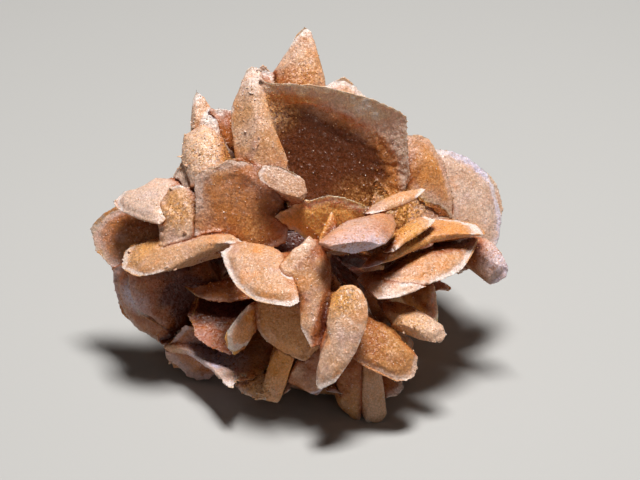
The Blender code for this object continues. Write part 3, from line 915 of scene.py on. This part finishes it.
def cut_flats(mesh, name, chance):
    """Gives the blade flat natural faces that meet in low ridges, as sharp growth does."""
    places = vertex_places(mesh).astype(float)
    for x, u, w, depth in FLATS.get(name, ()):
        facing = np.array((face_point(x, u, w) - HEART).normalized())
        places = cut_flat(places, facing, depth * MM)
    middle = places.mean(axis=0)
    along, across, through = np.linalg.svd(places[::7] - middle, full_matrices=False)[2]
    half = np.abs((places - middle) @ through).max()
    for side in (1, -1):
        turn = chance.uniform(0, 2 * math.pi)
        for tilt, share in CHANCE_FLATS:
            sideways = math.cos(turn) * along + math.sin(turn) * across
            facing = side * math.cos(tilt) * through + math.sin(tilt) * sideways
            places = cut_flat(places, facing, min(share * half, DEEPEST_CHANCE_FLAT))
            turn += chance.uniform(1.7, 2.5)
    set_places(mesh, places)


def raise_to_floor(places):
    """Brings what is below the floor up to it."""
    places[..., 2] = np.maximum(places[..., 2], 0.0)


def fine_copy(name, node, settings):
    """A finely meshed copy of the CAD blade, in its own finish."""
    piece = bpy.data.objects.new(f"crystal_{name}", node.data.copy())
    bpy.context.scene.collection.objects.link(piece)
    piece.data.materials.clear()
    piece.data.materials.append(material_for(SLOTS[name], settings))
    remesh = piece.modifiers.new("fine mesh", "REMESH")
    remesh.mode = "VOXEL"
    remesh.voxel_size = settings.grain
    remesh.use_smooth_shade = True
    soften = piece.modifiers.new("soften", "SMOOTH")
    soften.factor = 0.5
    soften.iterations = 2
    settle(piece)
    return piece


def roughen(piece, name, settings):
    """Waves, pits and lumps over the crystal, and nicks along its rim."""
    crusting = 1 + CRUSTED.get(name, 0.0)
    swell = cloud_texture("broad swell", SWELL_WIDTH)
    nicks = cloud_texture("nicked rim", NICK_WIDTH, 3)
    facets = facet_texture("crystal facets", FACET_WIDTH)
    crust = facet_texture("fine crust", CRUST_WIDTH)
    displace(piece, swell, settings.swell, middle=0.45)
    displace(piece, facets, settings.pitting * crusting, middle=0.3)
    displace(piece, crust, settings.pitting * 0.55 * crusting, middle=0.3)
    displace(piece, nicks, settings.ragged, "RGB_TO_XYZ", group="rim")
    settle(piece)
    places = vertex_places(piece.data)
    raise_to_floor(places)
    set_places(piece.data, places)


def store_finish(mesh, name):
    """Stores on the crystal what its material asks for."""
    thickness = lowest_near(mesh, thickness_of(mesh), 2)
    store(mesh, "thickness", spread_evenly(mesh, thickness, 2))
    for layer, blades, usual in (
        ("rim_frost", RIM_FROST, 1.0),
        ("painted_glow", PAINTED_GLOW, 0.0),
        ("bleached_and_lit", BLEACHED_AND_LIT, 0.0),
    ):
        store(mesh, layer, np.full(len(thickness), blades.get(name, usual)))
    mark_patches(mesh)


class OBJECT_OT_grow_sand_rose_blades(bpy.types.Operator):
    """Grow a weathered crystal round each CAD blade"""

    bl_idname = "object.grow_sand_rose_blades"
    bl_label = "Grow Crystal Blades"
    bl_options = {"REGISTER", "UNDO"}

    def execute(self, context):
        settings = context.scene.sand_rose
        rose = tree_of_blades()
        chance = np.random.default_rng(SEED)
        for name, node in sorted(frame["nodes"].items()):
            piece = fine_copy(name, node, settings)
            sky = spread_evenly(piece.data, openness_of(piece.data, rose), 5)
            # Painted shade: a blade's listed offset and the listed hollows lower the openness that darkens
            # its colour; a negative offset paints light.
            sky = sky - SHADED.get(name, 0.0) - cover_of(piece.data, HOLLOWS)
            store(piece.data, "openness", np.clip(sky, 0, 1))
            grow_together(piece.data, name, settings.joining)
            sharpen_rim(piece.data, settings.edge)
            cut_growth_step(piece.data, name)
            cut_flats(piece.data, name, chance)
            mark_rim(piece, settings.edge)
            roughen(piece, name, settings)
            store_finish(piece.data, name)
            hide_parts(name)
            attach(piece, ROOT_BODY)
        return {"FINISHED"}


# ---------------------------------------------------------------- buds and sand


def joined_mesh(name, places, faces, material):
    """A mesh object of many small loose bodies."""
    mesh = bpy.data.meshes.new(name)
    mesh.from_pydata(places.tolist(), [], faces.tolist())
    mesh.materials.append(material)
    made = bpy.data.objects.new(name, mesh)
    bpy.context.scene.collection.objects.link(made)
    return made


def ball(subdivisions):
    """The points and triangles of a round body of radius 1."""
    form = bmesh.new()
    bmesh.ops.create_icosphere(form, subdivisions=subdivisions, radius=1)
    places = np.array([vertex.co for vertex in form.verts])
    faces = np.array([[vertex.index for vertex in face.verts] for face in form.faces])
    form.free()
    return places, faces


def random_turns(chance, many):
    """Rotations spread evenly over all directions."""
    quaternions = chance.normal(size=(many, 4))
    quaternions /= np.linalg.norm(quaternions, axis=1)[:, None]
    return np.array([Quaternion(turn).to_matrix() for turn in quaternions])


def grown_pieces():
    """The crystals round the CAD blades, by the blades' names."""
    return {name: bpy.data.objects[f"crystal_{name}"] for name in sorted(frame["nodes"])}


def stored(mesh, name):
    values = np.empty(len(mesh.vertices), np.float32)
    mesh.attributes[name].data.foreach_get("value", values)
    return values


def bud_body(form, spot, normal, chance):
    """A bud that stands out of the crystal at the spot, tipped at random."""
    length = chance.uniform(*BUD_LENGTHS) * MM
    lie = Vector(normal * 0.55 + chance.normal(size=3) * 0.75).normalized()
    flat = lie.cross(Vector(chance.normal(size=3))).normalized()
    turn = np.array((lie, flat, lie.cross(flat))).T
    return (form * length) @ turn.T + spot + np.array(lie) * length * 0.35


class OBJECT_OT_grow_sand_rose_buds(bpy.types.Operator):
    """Grow small crystals on the crusted blades"""

    bl_idname = "object.grow_sand_rose_buds"
    bl_label = "Grow Crystal Buds"
    bl_options = {"REGISTER", "UNDO"}

    def execute(self, context):
        settings = context.scene.sand_rose
        chance = np.random.default_rng(SEED)
        form, triangles = ball(2)
        form = form * BUD_SHAPE
        form[:, 1:] *= (1 - BUD_TAPER * form[:, :1] ** 2)
        total = sum(CRUSTED.values())
        for slot in ("gypsum_pale", "gypsum_sandy"):
            places, faces = [], []
            for name, piece in grown_pieces().items():
                is_pale = SLOTS[name] == "gypsum_pale"
                if name not in CRUSTED or is_pale != (slot == "gypsum_pale"):
                    continue
                mesh = piece.data
                weight = np.clip(stored(mesh, "openness") - 0.35, 0.02, 1.0)
                many = round(settings.bud_count * CRUSTED[name] / total)
                hosts = chance.choice(len(weight), many, p=weight / weight.sum())
                spots, normals = vertex_places(mesh)[hosts], vertex_normals(mesh)[hosts]
                for spot, normal in zip(spots, normals):
                    faces.append(triangles + sum(map(len, places)))
                    places.append(bud_body(form, spot, normal, chance))
            points = np.concatenate(places)
            raise_to_floor(points)
            material = material_for(slot, settings)
            buds = joined_mesh(
                f"buds_{slot.removeprefix('gypsum_')}", points, np.concatenate(faces), material
            )
            buds.data.shade_smooth()
            thickness = 0.0011 + 0.0008 * form[:, 0] ** 2
            store(buds.data, "thickness", np.tile(thickness, len(points) // len(form)))
            for layer, value in BUD_FINISH.items():
                store(buds.data, layer, np.full(len(points), value))
            mark_patches(buds.data)
            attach(buds, ROOT_BODY)
        return {"FINISHED"}


class OBJECT_OT_scatter_sand_rose_grains(bpy.types.Operator):
    """Scatter loose sand grains and sugary crystals over the rose"""

    bl_idname = "object.scatter_sand_rose_grains"
    bl_label = "Scatter Sand"
    bl_options = {"REGISTER", "UNDO"}

    def execute(self, context):
        settings = context.scene.sand_rose
        chance = np.random.default_rng(SEED + 1)
        spots, normals, sandy, sugary = [], [], [], []
        for name, piece in grown_pieces().items():
            mesh = piece.data
            sky = stored(mesh, "openness")
            drift = np.clip(1 - np.abs(sky - 0.5) / 0.3, 0, 1)
            drift = drift * np.clip(vertex_normals(mesh)[:, 2] + 0.4, 0, 1)
            spots.append(vertex_places(mesh))
            normals.append(vertex_normals(mesh))
            sandy.append(0.8 * stored(mesh, "sand_patch") ** 2 + 0.15 * drift + 0.004)
            bright = 0.15 * stored(mesh, "frost_patch") + 0.03 + 0.05 * CRUSTED.get(name, 0.0)
            sugary.append(bright * np.clip(sky - 0.3, 0.02, 1))
        spots, normals = np.concatenate(spots), np.concatenate(normals)
        form, triangles = ball(1)
        sand = grain_material("ochre sand", settings.sand, settings.pale, 0.5, 0.3)
        sugar = grain_material("clear sugary gypsum", settings.frost, settings.pale, 0.3, 0.4)
        # Share of the count, where they lie, and their least and most radius in millimetres.
        for name, share, weights, sizes, material in (
            ("sand_grains", 0.55, sandy, (0.10, 0.20), sand),
            ("sugar_grains", 0.45, sugary, (0.09, 0.20), sugar),
        ):
            many = round(settings.grain_count * share)
            weights = np.concatenate(weights)
            hosts = chance.choice(len(weights), many, p=weights / weights.sum())
            size = chance.uniform(*sizes, (many, 1, 1)) * MM
            stretch = chance.uniform(0.6, 1.2, (many, 1, 3))
            turns = random_turns(chance, many)
            bodies = np.einsum("nij,nkj->nki", turns, form[None] * stretch) * size
            bodies += (spots[hosts] + normals[hosts] * 0.08 * MM)[:, None]
            raise_to_floor(bodies)
            steps = np.arange(many)[:, None, None] * len(form)
            faces = (triangles[None] + steps).reshape(-1, 3)
            grains = joined_mesh(name, bodies.reshape(-1, 3), faces, material)
            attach(grains, ROOT_BODY)
        return {"FINISHED"}


# ---------------------------------------------------------------- stage


def hang_lamp(name, place, width, power):
    """A square lamp turned towards the rose's heart."""
    lamp = bpy.data.lights.new(name, "AREA")
    lamp.size = width
    lamp.energy = power
    light = bpy.data.objects.new(name, lamp)
    bpy.context.scene.collection.objects.link(light)
    light.location = place
    aim = HEART - light.location
    light.rotation_euler = aim.to_track_quat("-Z", "Y").to_euler()
    return light


def soft_room():
    """A faint warm light from all around."""
    world = bpy.data.worlds.new("soft room")
    world.use_nodes = True
    sky = world.node_tree.nodes["Background"]
    sky.inputs["Color"].default_value = ROOM_COLOUR
    sky.inputs["Strength"].default_value = ROOM_LIGHT
    return world


def square_on_camera():
    """A camera that looks straight at the rose's face."""
    lens = bpy.data.cameras.new("camera")
    lens.lens = LENS_LENGTH
    lens.sensor_width = SENSOR_WIDTH
    camera = bpy.data.objects.new("camera", lens)
    bpy.context.scene.collection.objects.link(camera)
    back = Vector((0, -math.cos(FACE_LEAN), math.sin(FACE_LEAN)))
    distance = FRAME_WIDTH * lens.lens / lens.sensor_width
    camera.location = HEART + back * distance
    camera.rotation_euler = back.to_track_quat("Z", "Y").to_euler()
    lens.clip_start, lens.clip_end = 0.01, 10.0
    return camera


class OBJECT_OT_set_sand_rose_stage(bpy.types.Operator):
    """Set the rose on a pale floor with soft light and a camera"""

    bl_idname = "object.set_sand_rose_stage"
    bl_label = "Set Stage"
    bl_options = {"REGISTER", "UNDO"}

    def execute(self, context):
        scene = context.scene
        bpy.ops.mesh.primitive_plane_add(size=FLOOR_WIDTH)
        floor = context.object
        floor.name = "floor"
        floor.data.materials.append(plain_material("pale floor", FLOOR_COLOUR, 0.7))
        made = [floor] + [hang_lamp(*lamp) for lamp in LAMPS]
        scene.world = soft_room()
        scene.view_settings.view_transform = "Standard"
        scene.camera = square_on_camera()
        return {"FINISHED"}


class VIEW3D_PT_sand_rose(bpy.types.Panel):
    """The rose's pieces and stage, with their sizes and colours"""

    bl_idname = "VIEW3D_PT_sand_rose"
    bl_label = "Sand Rose"
    bl_space_type = "VIEW_3D"
    bl_region_type = "UI"
    bl_category = "Sand Rose"

    def draw(self, context):
        layout = self.layout
        steps = layout.column(align=True)
        for operator in OPERATORS:
            steps.operator(operator.bl_idname)
        settings = context.scene.sand_rose
        fields = layout.column()
        for name in SandRoseSettings.__annotations__:
            fields.prop(settings, name)


OPERATORS = (
    OBJECT_OT_grow_sand_rose_blades,
    OBJECT_OT_grow_sand_rose_buds,
    OBJECT_OT_scatter_sand_rose_grains,
    OBJECT_OT_set_sand_rose_stage,
)
CLASSES = (SandRoseSettings, *OPERATORS, VIEW3D_PT_sand_rose)


def register():
    for made in CLASSES:
        bpy.utils.register_class(made)
    bpy.types.Scene.sand_rose = PointerProperty(type=SandRoseSettings)


def unregister():
    del bpy.types.Scene.sand_rose
    for made in reversed(CLASSES):
        bpy.utils.unregister_class(made)


def main():
    register()
    for leftover in list(bpy.data.objects):
        if leftover.name in ("Cube", "Light", "Camera"):
            bpy.data.objects.remove(leftover)
    bpy.ops.object.grow_sand_rose_blades()
    bpy.ops.object.grow_sand_rose_buds()
    bpy.ops.object.scatter_sand_rose_grains()
    bpy.ops.object.set_sand_rose_stage()


if __name__ == "__main__":
    main()
